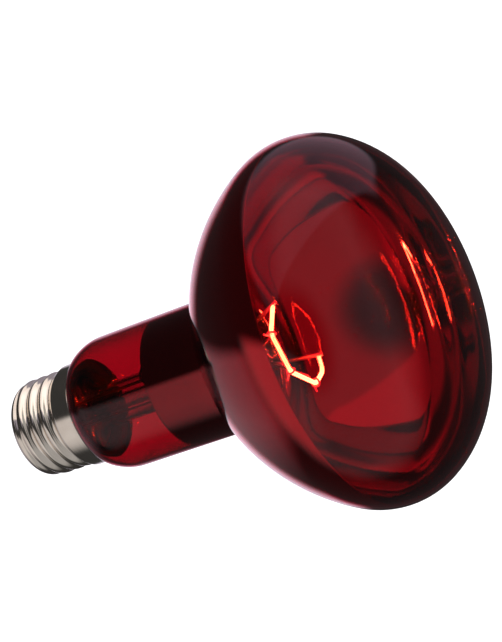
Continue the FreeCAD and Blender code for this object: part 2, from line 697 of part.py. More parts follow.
def drill_sockets(body):
    """Sink a socket for each support wire into the side of the button."""
    sketch = new_sketch(body, "socket_circle")
    sketch.AttachmentOffset = FreeCAD.Placement(
        FreeCAD.Vector(0, 0, -size["button_radius"]), FreeCAD.Rotation()
    )
    sketch.setExpression("AttachmentOffset.Base.z", "-Sizes.button_radius")
    height = total("button_height") + size["button_thickness"] / 2
    centre = FreeCAD.Vector(0, height, 0)
    circle = sketch.addGeometry(Part.Circle(centre, AXIS, size["support_radius"]), False)
    bind(sketch, size["support_radius"], "Sizes.support_radius", "Radius", circle)
    middle = "Sizes.button_height + Sizes.button_thickness / 2"
    bind(sketch, height, middle, "DistanceY", -1, 1, circle, 3)
    sketch.addConstraint(Sketcher.Constraint("PointOnObject", circle, 3, -2))
    before = body.Shape.Volume
    socket = body.newObject("PartDesign::Pocket", "socket")
    socket.Profile = sketch
    socket.Length = size["support_embed"]
    socket.setExpression("Length", "Sizes.support_embed")
    socket.Reversed = True
    sketch.Visibility = False
    doc.recompute()
    one = before - body.Shape.Volume
    ring = body.newObject("PartDesign::PolarPattern", "sockets")
    ring.Originals = [socket]
    upright = [f for f in body.Origin.OriginFeatures if f.Role == "Z_Axis"][0]
    ring.Axis = (upright, [""])
    ring.Angle = 2 * size["support_spacing_angle"]
    ring.setExpression("Angle", "2 * Sizes.support_spacing_angle")
    ring.Occurrences = 3
    body.Tip = ring
    doc.recompute()
    if one <= 0 or body.Shape.Volume > before - 2.9 * one:
        raise RuntimeError("the sockets are not all cut")


def make_seal_wires():
    """The short wires that the press grips gas-tight, one in line with each lead."""
    for name, side in (("seal_wire_a", 1), ("seal_wire_b", -1)):
        wire = doc.addObject("Part::Cylinder", name)
        wire.Label = name
        place = direction(size["press_angle"]) * (side * size["lead_offset"])
        wire.Placement.Base = place + AXIS * total("stem_height + lead_embed")
        wire.setExpression("Radius", "Sizes.seal_wire_radius")
        wire.setExpression("Height", cells("press_height - stem_height - lead_embed - lead_embed"))
        offset = "%d * Sizes.lead_offset" % side
        wire.setExpression("Placement.Base.x", offset + " * cos(Sizes.press_angle * 1 deg)")
        wire.setExpression("Placement.Base.y", offset + " * sin(Sizes.press_angle * 1 deg)")
        wire.setExpression("Placement.Base.z", cells("stem_height + lead_embed"))
        nodes.append(wire)


# The filament, its leads and its supports


def filament_corners():
    """The filament's ends and corners, from lead to lead, with the free bend as the last corner."""
    spread = (
        (-size["filament_half_angle"], size["filament_start_radius"]),
        (-size["support_spacing_angle"], size["first_corner_radius"]),
        (0, size["middle_corner_radius"]),
        (size["support_spacing_angle"], size["last_corner_radius"]),
        (size["sag_angle"], size["sag_radius"]),
        (size["filament_half_angle"], size["filament_end_radius"]),
    )
    lift = AXIS * size["filament_height"]
    return [direction(size["filament_middle_angle"] + turn) * reach + lift for turn, reach in spread]


def make_upper_leads():
    """Nickel leads that rise from the press and spread to the filament's ends."""
    corners = filament_corners()
    leads = []
    for name, side, end in (("upper_lead_a", 1, corners[-1]), ("upper_lead_b", -1, corners[0])):
        foot = direction(size["press_angle"]) * (side * size["lead_offset"])
        start = foot + AXIS * total("press_height - lead_embed")
        bend = foot + AXIS * size["upper_lead_bend_height"]
        tip = end + (end - bend).normalize() * size["upper_lead_end"]
        wire = round_wire([start, bend, tip], size["upper_lead_bend"], size["upper_lead_radius"])
        leads.append(new_shape(name, wire))
    return leads


def make_filament(leads):
    """Outer form of the coiled tungsten wire, whose ends are seated on the two leads."""
    corners = filament_corners()
    corners[0] += (corners[1] - corners[0]).normalize() * (size["upper_lead_radius"] / 2)
    corners[-1] += (corners[-2] - corners[-1]).normalize() * (size["upper_lead_radius"] / 2)
    coil = round_wire(corners, size["coil_bend"], size["coil_radius"])
    for lead in leads:
        coil = coil.cut(lead.Shape)
    new_shape("filament", coil)


def coil_cut(number):
    """How far the coil's rounded corner lies inside the corner of its path."""
    corners = filament_corners()
    incoming = corners[number] - corners[number - 1]
    leaving = corners[number + 1] - corners[number]
    half_turn = incoming.getAngle(leaving) / 2
    return size["coil_bend"] * (1 / math.cos(half_turn) - 1)


def make_supports():
    """Molybdenum wires from the button, each with an eye round the coil and a short tail."""
    eye_radius = total("coil_radius + eye_gap + support_radius")
    root_height = AXIS * (size["button_height"] + size["button_thickness"] / 2)
    held = filament_corners()[1:-2]
    for number, corner in enumerate(held, start=1):
        away = FreeCAD.Vector(corner.x, corner.y, 0).normalize()
        middle = corner - away * coil_cut(number)
        aside = AXIS.cross(away) * (size["eye_pitch"] / 2)
        out = away * eye_radius
        up = AXIS * eye_radius
        run = away * size["support_run"]
        path = [
            root_height + away * total("button_radius - support_embed"),
            root_height + away * total("button_radius + support_reach"),
            middle - run - up - aside,
            middle + out - up - aside,
            middle + out + up - aside / 2,
            middle - out + up + aside / 2,
            middle - out - up + aside,
            middle + run - up + aside,
        ]
        wire = round_wire(path, size["support_bend"], size["support_radius"])
        new_shape("filament_support_%d" % number, wire)


# The screw cap


def cap_curves(inset):
    """Curves of the cap's outline from the lip up to the collar, moved in by inset."""
    rise = size["thread_depth"] / 2
    roundness = ((size["thread_pitch"] / 4) ** 2 + rise**2) / (2 * rise)
    lean = math.degrees(math.asin(size["thread_pitch"] / 4 / roundness))
    corner = FreeCAD.Vector(
        total("lip_radius - lip_corner_radius"), total("lip_height + lip_corner_radius"), 0
    )
    crest_across = size["thread_radius"] - roundness
    root_across = total("thread_radius - thread_depth") + roundness
    reach = size["lip_corner_radius"] + roundness
    root_up = corner.y + math.sqrt(reach**2 - (root_across - corner.x) ** 2)
    first_slope = 90 + math.degrees(math.asin((root_up - corner.y) / reach))
    last_up = root_up + THREAD_CRESTS * size["thread_pitch"]
    collar_across = total("collar_radius - collar_corner_radius")
    reach = size["collar_corner_radius"] + roundness
    collar_up = last_up + math.sqrt(reach**2 - (root_across - collar_across) ** 2)
    last_slope = math.degrees(math.asin((root_across - collar_across) / reach)) % 360
    curves = [(corner, size["lip_corner_radius"] - inset, 0, first_slope, 1)]
    for turn in range(THREAD_CRESTS + 1):
        centre = FreeCAD.Vector(root_across, root_up + turn * size["thread_pitch"], 0)
        low = 90 + lean if turn else first_slope
        high = 90 - lean if turn < THREAD_CRESTS else last_slope
        curves.append((centre, roundness + inset, low, high, -1))
        if turn < THREAD_CRESTS:
            crest = FreeCAD.Vector(crest_across, centre.y + size["thread_pitch"] / 2, 0)
            curves.append((crest, roundness - inset, 90 - lean, 90 + lean, 1))
    collar = FreeCAD.Vector(collar_across, collar_up, 0)
    curves.append((collar, size["collar_corner_radius"] - inset, last_slope, 90, 1))
    return curves


def draw_cap(sketch, inset):
    """Draw the cap's half outline as tangent curves, tied to the spreadsheet.

    The inset is empty for the outside of the sheet and a cell's name for its inside.
    """
    inward_by = size[inset] if inset else 0.0
    thinner = " - Sizes." + inset if inset else ""
    thicker = " + Sizes." + inset if inset else ""
    lift = " + " + inset if inset else ""
    curves = cap_curves(inward_by)
    arcs = []
    ends = []
    for centre, radius, low, high, side in curves:
        first = FreeCAD.Vector(*outward(low), 0) * (side * radius) + centre
        last = FreeCAD.Vector(*outward(high), 0) * (side * radius) + centre
        half = FreeCAD.Vector(*outward((low + high) / 2), 0) * (side * radius) + centre
        arcs.append(sketch.addGeometry(Part.Arc(first, half, last), False))
        ends.append((first, last))
    floor_up = total("lip_height" + lift)
    wall = total("collar_radius") - inward_by
    axis_foot = FreeCAD.Vector(0, floor_up, 0)
    axis_top = FreeCAD.Vector(0, size["cap_height"], 0)
    wall_top = FreeCAD.Vector(wall, size["cap_height"], 0)
    floor = sketch.addGeometry(Part.LineSegment(axis_foot, ends[0][0]), False)
    side_wall = sketch.addGeometry(Part.LineSegment(ends[-1][1], wall_top), False)
    top = sketch.addGeometry(Part.LineSegment(wall_top, axis_top), False)
    middle = sketch.addGeometry(Part.LineSegment(axis_top, axis_foot), False)

    def low_end(index):
        return 1 if curves[index][4] > 0 else 2

    def high_end(index):
        return 2 if curves[index][4] > 0 else 1

    last = len(arcs) - 1
    sketch.addConstraint(Sketcher.Constraint("Tangent", floor, 2, arcs[0], low_end(0)))
    for index in range(last):
        joint = (arcs[index], high_end(index), arcs[index + 1], low_end(index + 1))
        sketch.addConstraint(Sketcher.Constraint("Tangent", *joint))
    sketch.addConstraint(Sketcher.Constraint("Tangent", arcs[last], high_end(last), side_wall, 1))
    sketch.addConstraint(Sketcher.Constraint("Coincident", side_wall, 2, top, 1))
    sketch.addConstraint(Sketcher.Constraint("Coincident", top, 2, middle, 1))
    sketch.addConstraint(Sketcher.Constraint("Coincident", middle, 2, floor, 1))
    sketch.addConstraint(Sketcher.Constraint("PointOnObject", floor, 1, -2))
    sketch.addConstraint(Sketcher.Constraint("PointOnObject", top, 2, -2))
    for flat in (floor, top):
        sketch.addConstraint(Sketcher.Constraint("Horizontal", flat))
    sketch.addConstraint(Sketcher.Constraint("Vertical", side_wall))
    bind(sketch, floor_up, cells("lip_height" + lift), "DistanceY", -1, 1, floor, 1)
    bind(sketch, size["cap_height"], "Sizes.cap_height", "DistanceY", -1, 1, top, 2)
    bind(sketch, wall, "Sizes.collar_radius" + thinner, "DistanceX", -1, 1, side_wall, 2)
    lip_corner = "Sizes.lip_corner_radius"
    bind(sketch, curves[0][1], lip_corner + thinner, "Radius", arcs[0])
    corner_across = cells("lip_radius - lip_corner_radius")
    bind(sketch, curves[0][0].x, corner_across, "DistanceX", -1, 1, arcs[0], 3)
    bind(sketch, curves[last][1], "Sizes.collar_corner_radius" + thinner, "Radius", arcs[last])
    # equal round crests and roots: their radius follows from the pitch and the depth
    roundness = "((Sizes.thread_pitch / 4)^2 + (Sizes.thread_depth / 2)^2) / Sizes.thread_depth"
    for index in range(1, last):
        crest = curves[index][4] > 0
        grown = thinner if crest else thicker
        bind(sketch, curves[index][1], roundness + grown, "Radius", arcs[index])
        if crest:
            across = "Sizes.thread_radius - %s" % roundness
        else:
            across = "Sizes.thread_radius - Sizes.thread_depth + %s" % roundness
        bind(sketch, curves[index][0].x, across, "DistanceX", -1, 1, arcs[index], 3)


def make_cap_shell():
    """Nickel-plated sheet: rolled thread, smooth collar, and a lip rolled over the insulator."""
    body = new_body("cap_shell")
    outside = new_sketch(body, "cap_outside")
    draw_cap(outside, "")
    revolve(body, outside, "cap_turned")
    inside = new_sketch(body, "cap_inside")
    draw_cap(inside, "sheet_thickness")
    revolve(body, inside, "cap_hollow", cut=True)
    drill(body, "lip_hole", ((0, "0"),), "lip_hole_radius", "lip_height", "sheet_thickness")
    cut_notch(body)
    turn_to(body, "side_lead_angle")


def cut_notch(body):
    """Cut the notch in the rim that lets the side lead out."""
    sketch = new_sketch(body, "notch_outline", "XY_Plane", "cement_height")
    half = size["notch_width"] / 2
    inner = size["side_lead_radius"]
    outer = total("collar_radius + sheet_thickness")
    corners = (
        FreeCAD.Vector(inner, -half, 0),
        FreeCAD.Vector(outer, -half, 0),
        FreeCAD.Vector(outer, half, 0),
        FreeCAD.Vector(inner, half, 0),
    )
    sides = []
    for start, end in zip(corners, corners[1:] + corners[:1]):
        sides.append(sketch.addGeometry(Part.LineSegment(start, end), False))
    for side, following in zip(sides, sides[1:] + sides[:1]):
        sketch.addConstraint(Sketcher.Constraint("Coincident", side, 2, following, 1))
    for side in (0, 2):
        sketch.addConstraint(Sketcher.Constraint("Horizontal", sides[side]))
        sketch.addConstraint(Sketcher.Constraint("Vertical", sides[side + 1]))
    bind(sketch, inner, "Sizes.side_lead_radius", "DistanceX", -1, 1, sides[0], 1)
    outer_cells = cells("collar_radius + sheet_thickness")
    bind(sketch, outer, outer_cells, "DistanceX", -1, 1, sides[0], 2)
    bind(sketch, -half, "-Sizes.notch_width / 2", "DistanceY", -1, 1, sides[0], 1)
    bind(sketch, half, "Sizes.notch_width / 2", "DistanceY", -1, 1, sides[2], 1)
    notch = body.newObject("PartDesign::Pocket", "notch")
    notch.Profile = sketch
    notch.Length = total("cap_height - cement_height")
    notch.setExpression("Length", cells("cap_height - cement_height"))
    notch.Reversed = True
    sketch.Visibility = False
    before = body.Shape.Volume
    doc.recompute()
    if body.Shape.Volume >= before:
        raise RuntimeError("the notch removes nothing")


def make_cap_insulator():
    """Black glass moulded into the cap's lower end: a cone outside, a plug above the lip."""
    turned_body(
        "cap_insulator",
        (
            ("insulator_bore", "contact_height + contact_thickness"),
            ("insulator_face_radius", "contact_height + contact_thickness"),
            ("lip_hole_radius", "lip_height"),
            ("lip_hole_radius", "lip_height + sheet_thickness"),
            ("insulator_radius", "lip_height + sheet_thickness"),
            ("insulator_radius", "insulator_top"),
            ("insulator_bore", "insulator_top"),
        ),
    )


def make_centre_contact():
    """Brass eyelet: a round plate with a short tube riveted up through the insulator."""
    turned_body(
        "centre_contact",
        (
            ("insulator_bore - contact_wall", "contact_height"),
            ("contact_radius", "contact_height"),
            ("contact_radius", "contact_height + contact_thickness"),
            ("insulator_bore", "contact_height + contact_thickness"),
            ("insulator_bore", "contact_tube_height"),
            ("insulator_bore - contact_wall", "contact_tube_height"),
        ),
    )


def make_contact_solder():
    """Domed solder that closes the eyelet and holds the centre lead."""
    body = new_body("contact_solder")
    sketch = new_sketch(body, "solder_profile")
    plug = total("insulator_bore - contact_wall")
    rise = size["contact_height"]
    reach = size["contact_solder_radius"]
    dome = (reach**2 + rise**2) / (2 * rise)
    centre = FreeCAD.Vector(0, dome, 0)
    tip = ORIGIN
    brim = FreeCAD.Vector(reach, rise, 0)
    lean = math.asin(reach / dome) / 2
    half = centre + FreeCAD.Vector(math.sin(lean), -math.cos(lean), 0) * dome
    top = total("contact_height + contact_thickness")
    corners = [
        brim,
        FreeCAD.Vector(plug, rise, 0),
        FreeCAD.Vector(plug, top, 0),
        FreeCAD.Vector(0, top, 0),
        tip,
    ]
    arc = sketch.addGeometry(Part.Arc(tip, half, brim), False)
    lines = []
    for start, end in zip(corners, corners[1:]):
        lines.append(sketch.addGeometry(Part.LineSegment(start, end), False))
    for line, following in zip(lines, lines[1:]):
        sketch.addConstraint(Sketcher.Constraint("Coincident", line, 2, following, 1))
    sketch.addConstraint(Sketcher.Constraint("Coincident", arc, 2, lines[0], 1))
    sketch.addConstraint(Sketcher.Constraint("Coincident", lines[3], 2, arc, 1))
    sketch.addConstraint(Sketcher.Constraint("Coincident", arc, 1, -1, 1))
    sketch.addConstraint(Sketcher.Constraint("PointOnObject", arc, 3, -2))
    bind_point(sketch, lines[0], 1, "contact_solder_radius", "contact_height")
    bind_point(sketch, lines[1], 1, "insulator_bore - contact_wall", "contact_height")
    top_text = "contact_height + contact_thickness"
    bind_point(sketch, lines[2], 1, "insulator_bore - contact_wall", top_text)
    bind_point(sketch, lines[3], 1, "0", top_text)
    revolve(body, sketch, "solder_turned")
    drill(
        body, "lead_hole", ((0, "0"),), "lower_lead_radius", "contact_height", "contact_thickness"
    )


def cement_profile():
    """Corners and curve of the cement between the sealed glass and the collar."""
    base_centre, _, seal_radius = neck_places()
    fillet_height = base_centre.y - total("neck_base_radius + seal_fillet")
    centre = FreeCAD.Vector(base_centre.x, fillet_height, 0)
    climb = size["cement_height"] - fillet_height
    reach = math.sqrt(size["seal_fillet"] ** 2 - climb**2)
    return seal_radius, centre, FreeCAD.Vector(centre.x - reach, size["cement_height"], 0)


def make_basing_cement():
    """Ring of cement that fills the collar round the sealed glass, with a hole for the lead."""
    body = new_body("basing_cement")
    sketch = new_sketch(body, "cement_profile")
    seal_radius, centre, top_inner = cement_profile()
    wall = total("collar_radius - sheet_thickness")
    fillet = size["seal_fillet"]
    start = FreeCAD.Vector(seal_radius, centre.y, 0)
    lean = (start - centre).normalize() + (top_inner - centre).normalize()
    half = centre + lean.normalize() * fillet
    low_inner = FreeCAD.Vector(seal_radius, size["seal_height"], 0)
    low_outer = FreeCAD.Vector(wall, size["seal_height"], 0)
    top_outer = FreeCAD.Vector(wall, size["cement_height"], 0)
    floor = sketch.addGeometry(Part.LineSegment(low_inner, low_outer), False)
    side = sketch.addGeometry(Part.LineSegment(low_outer, top_outer), False)
    top = sketch.addGeometry(Part.LineSegment(top_outer, top_inner), False)
    curve = sketch.addGeometry(Part.Arc(top_inner, half, start), False)
    inner = sketch.addGeometry(Part.LineSegment(start, low_inner), False)
    chain = ((floor, 2, side, 1), (side, 2, top, 1), (top, 2, curve, 1), (inner, 2, floor, 1))
    for first, first_end, second, second_end in chain:
        joint = Sketcher.Constraint("Coincident", first, first_end, second, second_end)
        sketch.addConstraint(joint)
    sketch.addConstraint(Sketcher.Constraint("Tangent", curve, 2, inner, 1))
    for flat in (floor, top):
        sketch.addConstraint(Sketcher.Constraint("Horizontal", flat))
    for upright in (side, inner):
        sketch.addConstraint(Sketcher.Constraint("Vertical", upright))
    bind(sketch, fillet, "Sizes.seal_fillet", "Radius", curve)
    bind(sketch, seal_radius, seal_radius_cells(), "DistanceX", -1, 1, floor, 1)
    bind(sketch, wall, cells("collar_radius - sheet_thickness"), "DistanceX", -1, 1, floor, 2)
    bind(sketch, size["seal_height"], "Sizes.seal_height", "DistanceY", -1, 1, floor, 1)
    bind(sketch, size["cement_height"], "Sizes.cement_height", "DistanceY", -1, 1, top, 1)
    centre_up = "cap_height + rim_gap - seal_fillet"
    bind(sketch, centre.y, cells(centre_up), "DistanceY", -1, 1, curve, 3)
    revolve(body, sketch, "cement_turned")
    hole_depth = "cement_height - seal_height"
    places = ((1, "side_lead_radius"),)
    drill(body, "side_lead_hole", places, "lower_lead_radius", "seal_height", hole_depth)
    turn_to(body, "side_lead_angle")


def side_lead_exit():
    """Where the side lead passes through the rim's notch, in its own direction."""
    height = total("cement_height + lower_lead_radius + side_lead_lift")
    return direction(size["side_lead_angle"]), height


def make_lower_leads():
    """Copper leads: one down to the centre contact, one round to the rim of the cap."""
    press_side = direction(size["press_angle"]) * size["lead_offset"]
    top = total("stem_height + lead_embed")
    radius = size["lower_lead_radius"]
    turn_height = size["tip_off_height"]
    centre_top = total("insulator_top")
    centre = [
        press_side + AXIS * top,
        press_side + AXIS * turn_height,
        AXIS * (centre_top - 2 * radius),
        AXIS * size["contact_height"],
    ]
    new_shape("lower_lead_centre", round_wire(centre, 3 * radius, radius))

    away, exit_height = side_lead_exit()
    inside = press_side * -1
    up_radius = size["side_lead_radius"]
    under_skirt = total("seal_height - flare_wall - flare_wall")
    side = [
        inside + AXIS * top,
        inside + AXIS * (under_skirt - 4 * radius),
        away * (neck_places()[2] - 2 * radius) + AXIS * (under_skirt - radius),
        away * up_radius + AXIS * size["seal_height"],
        away * up_radius + AXIS * exit_height,
        away * total("collar_radius + lower_lead_radius") + AXIS * exit_height,
    ]
    new_shape("lower_lead_side", round_wire(side, radius * 1.2, radius))


def make_side_solder():
    """Blob of solder on the outside of the rim, over the notch and the end of the lead."""
    away, exit_height = side_lead_exit()
    bulge = size["side_solder_height"]
    reach = size["side_solder_radius"]
    ball = (reach**2 + bulge**2) / (2 * bulge)
    seat = total("collar_radius")
    centre = away * (seat + bulge - ball) + AXIS * (size["cap_height"] - reach)
    blob = Part.makeSphere(ball, centre)
    shell_space = Part.makeCylinder(seat, 2 * size["cap_height"])
    lead_end = Part.makeCylinder(
        size["lower_lead_radius"],
        total("lower_lead_radius"),
        away * seat + AXIS * exit_height,
        away,
    )
    new_shape("side_solder", blob.cut(shell_space).cut(lead_end))


# The whole lamp, in the order it is put together


def check_and_export():
    """Stop on any failed feature or shape, then write one file for each piece."""
    doc.recompute()
    for thing in doc.Objects:
        if "Invalid" in thing.State or "Error" in thing.State:
            raise RuntimeError("%s failed: %s" % (thing.Name, thing.State))
    for part in nodes:
        if part.Shape.isNull() or not part.Shape.isValid():
            raise RuntimeError("%s has no valid shape" % part.Label)
    os.makedirs("parts", exist_ok=True)
    for part in nodes:
        part.Shape.exportStep(os.path.join("parts", part.Label + ".step"))
        solids = len(part.Shape.Solids)
        print("%-20s %d solid, %.1f cubic mm" % (part.Label, solids, part.Shape.Volume))


make_sheet()
make_glass_envelope()
make_stem_flare()
make_exhaust_tube()
make_support_rod()
make_seal_wires()
upper_leads = make_upper_leads()
make_lower_leads()
make_supports()
make_filament(upper_leads)
make_cap_shell()
make_cap_insulator()
make_centre_contact()
make_contact_solder()
make_basing_cement()
make_side_solder()
check_and_export()
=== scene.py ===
# Infrared heat lamp bulb: the ruby bulb, its mirror film, the rolled cap and the glowing coil.
# Lengths in the tables are millimetres; everything in Blender is metres, in the frame of the CAD.
import math

import bmesh
import bpy
from mathutils import Matrix, Vector


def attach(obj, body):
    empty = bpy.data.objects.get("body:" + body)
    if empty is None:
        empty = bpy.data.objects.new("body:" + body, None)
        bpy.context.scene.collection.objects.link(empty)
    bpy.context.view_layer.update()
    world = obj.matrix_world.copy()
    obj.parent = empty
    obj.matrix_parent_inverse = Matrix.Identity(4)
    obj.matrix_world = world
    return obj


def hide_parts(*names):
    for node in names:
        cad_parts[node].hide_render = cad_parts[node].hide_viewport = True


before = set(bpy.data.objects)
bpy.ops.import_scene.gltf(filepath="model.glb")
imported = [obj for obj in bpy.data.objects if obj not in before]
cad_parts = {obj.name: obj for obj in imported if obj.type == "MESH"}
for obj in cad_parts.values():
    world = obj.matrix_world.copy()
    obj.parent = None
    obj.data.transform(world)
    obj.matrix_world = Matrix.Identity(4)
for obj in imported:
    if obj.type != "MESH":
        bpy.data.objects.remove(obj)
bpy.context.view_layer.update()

MM = 0.001

# Camera: where the photograph was taken from, with the lamp's axis as +Z
CAMERA_PLACE = Vector((0.0, -495.48, 357.74)) * MM
IMAGE_RIGHT = Vector((0.33254, 0.47046, 0.81736))
IMAGE_UP = Vector((-0.94298, 0.15277, 0.29572))
LOOK = Vector((-0.01426, 0.86910, -0.49444))
LENS = 127.4
SENSOR = 36.0
NEAREST = 10.0

# The blown bulb
BULB_RADIUS = 47.5
BULB_HEIGHT = 129.4
WIDEST_HEIGHT = 102.8
RIM_RADIUS = 18.2
RIM_LOW_ANGLE = 65.0
RIM_HIGH_ANGLE = 119.0
WINDOW_EDGE_RADIUS = 27.5
REFLECTOR_RADIUS = 54.7
SHOULDER_RADIUS = 25.5
CREASE_RADIUS = 1.6
CREASE_HEIGHT = 69.3
NECK_RADIUS = 17.75
NECK_CURVE_RADIUS = 13.6
NECK_CURVE_ANGLE = 61.6
NECK_BASE_RADIUS = 3.6
SEAL_FILLET = 1.95
SEAL_HEIGHT = 20.6
GLASS_WALL = 1.0
CAP_HEIGHT = 24.1
RIM_GAP = 0.1
# height and colour of the glass, between which the colour changes evenly
GLASS_TONES = (
    (62.0, (0.5, 0.03, 0.07)),
    (100.0, (0.74, 0.035, 0.09)),
)

# How finely the bulb is drawn: points along its curves and its neck, and steps round the axis
OUTLINE_STEP = 1.1
FINE_STEP = 0.275
SMALL_CURVE = 6.0
FEWEST_STEPS = 4
NECK_ROWS = 16
BULB_STEPS = 144
WELD = 0.002
SHORTEST_EDGE = 0.001

# The mirror film on the inside of the glass: it starts in the neck, is level all round up to
# the even height, and from there rises to its low and its high edge
FILM_LOW = 50.5
FILM_HIGH = 103.6
FILM_TOP = 118.0
FILM_EVEN = 95.0
FILM_LEAN = 0.25
FILM_INSET = 0.03
FILM_THICKNESS = 0.03

# The rolled cap
COLLAR_RADIUS = 13.8
COLLAR_START = 19.1
STEP_START = 17.6
THREAD_RADIUS = 13.15
THREAD_DEPTH = 1.1
THREAD_PITCH = 3.629
THREAD_PHASE = 0.36
SHEET = 0.32
LIP_HEIGHT = 3.45
LIP_RADIUS = 12.7
LIP_CORNER = 1.9
LIP_HOLE = 9.8
THREAD_RUN_IN = 1.6
RIM_ROLL = 0.12
CAP_STEPS = 144
CAP_ROW = 0.17
LIP_STEP = 0.15

# The filament
FILAMENT_HEIGHT = 86.0
MIDDLE_ANGLE = -47.5
# turn from the middle support and distance from the axis, from one lead to the other
FILAMENT_CORNERS = (
    (-105.5, 11.2),
    (-60.0, 11.4),
    (0.0, 10.5),
    (60.0, 12.3),
    (88.5, 12.8),
    (105.5, 10.4),
)
COIL_RADIUS = 0.48
COIL_BEND = 2.4
COIL_PITCH = 0.36
COIL_WIRE = 0.07
POINTS_IN_A_TURN = 12
POINTS_IN_A_BEND = 10
ROUNDING = 0.0001
LEAD_CLEARANCE = 0.5
GLOW_REACH = 5.0

# The studio: each patch of light with its strength, its colour and its edges. An edge is a way
# across the picture (right, up, away from the camera) and how far a direction must lean that
# way to be outside and inside the patch.
FLAG = 0.04
RIGHT = (1.0, 0.0, 0.0)
UP = (0.0, 1.0, 0.0)
AWAY = (0.0, 0.0, 1.0)
LOW_BOX_EDGE = (-0.41, 0.91, 0.0)
LOW_BOX_FADE = (-0.82, 0.57, 0.0)
BOX_FRONT_EDGE = (-0.71, 0.55, 0.44)
BOX_BACK_EDGE = (-0.44, 0.83, -0.35)
BOX_LEFT_EDGE = (0.5, 0.8, -0.35)
PATCHES = (
    # white background behind the lamp, which ends to the right of it
    (1.0, "#F4EEFF", ((AWAY, 0.84, 0.98), (RIGHT, 0.06, -0.01))),
    # softbox low on the left, which fades towards its far end
    (0.42, "#F6F2FC", ((LOW_BOX_EDGE, 0.17, 0.06), (AWAY, -0.1, 0.25), (LOW_BOX_FADE, -0.16, 0.23))),
    (
        0.65, "#FCF6F4",
        ((UP, -0.14, -0.3), (AWAY, 0.2, -0.15), (RIGHT, 0.1, -0.35), (UP, -1.25, -0.75)),
    ),
    # large softbox above, whose edges show in the window
    (
        0.33, "#F0E8FF",
        ((BOX_FRONT_EDGE, 0.0, 0.06), (BOX_BACK_EDGE, 0.0, 0.06), (BOX_LEFT_EDGE, 0.08, 0.2)),
    ),
    # what the room gives, with the dark camera in its middle
    (0.38, "#FFFFFF", ((AWAY, 0.25, -0.1), (RIGHT, -0.5, 0.0), (AWAY, -0.97, -0.8))),
)
# softbox for the cap alone: its place, the height on the axis that it faces, its size and watts
CAP_LIGHT_PLACE = Vector((-470.0, -85.0, 130.0))
CAP_LIGHT_AIM = 12.0
CAP_LIGHT_SIZE = (900.0, 800.0)
CAP_LIGHT_POWER = 2.0
# the floor lies well below the lamp
FLOOR_SIZE = 3000.0
FLOOR_DROP = 100.0
# the brightest indirect light that is kept, high enough for the filament's own colour
BRIGHTEST = 60.0


# Small helpers

def linear(text):
    """Turn an sRGB hex colour into the linear colour that a shader takes."""
    parts = [int(text[i:i + 2], 16) / 255 for i in (1, 3, 5)]
    return tuple(p / 12.92 if p <= 0.04045 else ((p + 0.055) / 1.055) ** 2.4 for p in parts) + (1.0,)


def add(tree, kind, settings=None, **links):
    """Add one node, set its properties and sockets, and link the sockets that are named.

    A socket whose name isn't its own goes by its number, which follows an underscore in a link.
    """
    made = tree.nodes.new(kind)
    for name, value in (settings or {}).items():
        if isinstance(name, int) or name in made.inputs:
            made.inputs[name].default_value = value
        else:
            setattr(made, name, value)
    for name, source in links.items():
        socket = made.inputs[int(name[1:])] if name[0] == "_" else made.inputs[name.replace("_", " ")]
        tree.links.new(source, socket)
    return made


def new_material(name):
    """A material whose shader is ready for its sockets to be set."""
    material = bpy.data.materials.new(name)
    material.use_nodes = True
    tree = material.node_tree
    return material, tree, tree.nodes["Principled BSDF"]


def set_shader(shader, **values):
    """Set sockets of a shader by their names, with underscores for spaces."""
    for name, value in values.items():
        shader.inputs[name.replace("_", " ")].default_value = value


def outward(slope):
    """Outward normal (radius, height) of an outline that climbs at this slope."""
    return Vector((math.sin(math.radians(slope)), -math.cos(math.radians(slope))))


def curve_points(centre, radius, low, high, side, step=OUTLINE_STEP):
    """Points along one curve of an outline, from its low slope to its high slope."""
    count = max(FEWEST_STEPS, math.ceil(radius * math.radians(abs(high - low)) / step))
    return [
        centre + outward(low + (high - low) * part / count) * (radius * side)
        for part in range(count + 1)
    ]


def spin_outline(outline, steps):
    """Turn an outline of (radius, height) points about the lamp's axis, its faces outwards."""
    mesh = bmesh.new()
    ring = [mesh.verts.new((point.x * MM, 0, point.y * MM)) for point in outline]
    edges = [mesh.edges.new(pair) for pair in zip(ring, ring[1:])]
    bmesh.ops.spin(
        mesh, geom=ring + edges, cent=(0, 0, 0), axis=(0, 0, 1),
        angle=2 * math.pi, steps=steps, use_merge=True,
    )
    bmesh.ops.remove_doubles(mesh, verts=mesh.verts, dist=WELD * MM)
    bmesh.ops.dissolve_degenerate(mesh, dist=SHORTEST_EDGE * MM, edges=mesh.edges)
    bmesh.ops.recalc_face_normals(mesh, faces=mesh.faces)
    widest = max(mesh.faces, key=lambda face: face.calc_center_median().xy.length)
    if widest.normal.xy.dot(widest.calc_center_median().xy) < 0:
        bmesh.ops.reverse_faces(mesh, faces=mesh.faces)
    return mesh


def ease(share):
    """A share from 0 to 1 that starts and ends gently."""
    share = min(max(share, 0.0), 1.0)
    return share * share * (3 - 2 * share)


def finish_piece(name, mesh, material, *nodes):
    """Make the mesh a smooth object that rides on the lamp and stands for its CAD nodes."""
    for face in mesh.faces:
        face.smooth = True
    data = bpy.data.meshes.new(name)
    mesh.to_mesh(data)
    mesh.free()
    data.materials.append(material)
    piece = bpy.data.objects.new(name, data)
    bpy.context.collection.objects.link(piece)
    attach(piece, "root")
    if nodes:
        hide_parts(*nodes)
    return piece


# Materials

